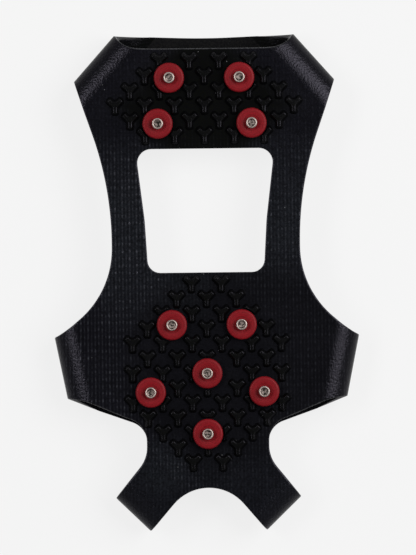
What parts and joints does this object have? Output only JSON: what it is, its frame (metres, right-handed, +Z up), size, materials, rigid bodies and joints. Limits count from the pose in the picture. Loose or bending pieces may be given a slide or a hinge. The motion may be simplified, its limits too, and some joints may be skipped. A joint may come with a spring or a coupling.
{
  "type": "ice cleat",
  "caption": "Slip-on rubber ice cleat lying sole up: lugged sole with a window, steel studs in red discs, and side, toe and heel straps folded under it.",
  "frame": {"origin": "on the floor, below the middle of the cleat as it lies flat with the studs up", "axes": "+X across the cleat, +Y towards the heel, +Z up, the way the studs point"},
  "size_m": [0.1316, 0.214, 0.0235],
  "materials": {
    "rubber": "satin, fine grain",
    "stud_disc": "matte",
    "stud_steel": "turned, rough cup",
    "washer_steel": "satin"
  },
  "bodies": {
    "saddle": {"toe_saddle": "rubber"},
    "forefoot": {"forefoot_pad": "rubber", "left_rail": "rubber", "right_rail": "rubber", "left_side_strap": "rubber", "right_side_strap": "rubber", "left_toe_strap": "rubber", "right_toe_strap": "rubber", "ball_left_disc": "stud_disc", "ball_left_stud": "stud_steel", "ball_left_washer": "washer_steel", "ball_right_disc": "stud_disc", "ball_right_stud": "stud_steel", "ball_right_washer": "washer_steel", "middle_disc": "stud_disc", "middle_stud": "stud_steel", "middle_washer": "washer_steel", "outer_left_disc": "stud_disc", "outer_left_stud": "stud_steel", "outer_left_washer": "washer_steel", "outer_right_disc": "stud_disc", "outer_right_stud": "stud_steel", "outer_right_washer": "washer_steel", "toe_disc": "stud_disc", "toe_stud": "stud_steel", "toe_washer": "washer_steel"},
    "heel": {"heel_pad": "rubber", "left_heel_strap": "rubber", "right_heel_strap": "rubber", "heel_rear_left_disc": "stud_disc", "heel_rear_left_stud": "stud_steel", "heel_rear_left_washer": "washer_steel", "heel_rear_right_disc": "stud_disc", "heel_rear_right_stud": "stud_steel", "heel_rear_right_washer": "washer_steel", "heel_front_left_disc": "stud_disc", "heel_front_left_stud": "stud_steel", "heel_front_left_washer": "washer_steel", "heel_front_right_disc": "stud_disc", "heel_front_right_stud": "stud_steel", "heel_front_right_washer": "washer_steel"},
    "heel_band": {"heel_band": "rubber"}
  },
  "joints": [
    {"name": "pocket_open", "type": "slide", "parent": "saddle", "child": "forefoot", "axis": [0, 0, 1], "range_m": [0, 0.025], "stiffness_N_per_m": 300, "deforming": ["left_side_strap", "right_side_strap", "left_toe_strap", "right_toe_strap"]},
    {"name": "waist_fold", "type": "hinge", "parent": "forefoot", "child": "heel", "pos_m": [0, 0.0307, 0.0255], "axis": [1, 0, 0], "range_deg": [0, 176], "stiffness_Nm_per_rad": 0.02, "deforming": ["left_rail", "right_rail"]},
    {"name": "heel_band_stretch", "type": "slide", "parent": "heel", "child": "heel_band", "axis": [0, 1, 0], "range_m": [0, 0.025], "stiffness_N_per_m": 400, "deforming": ["left_heel_strap", "right_heel_strap"]}
  ]
}
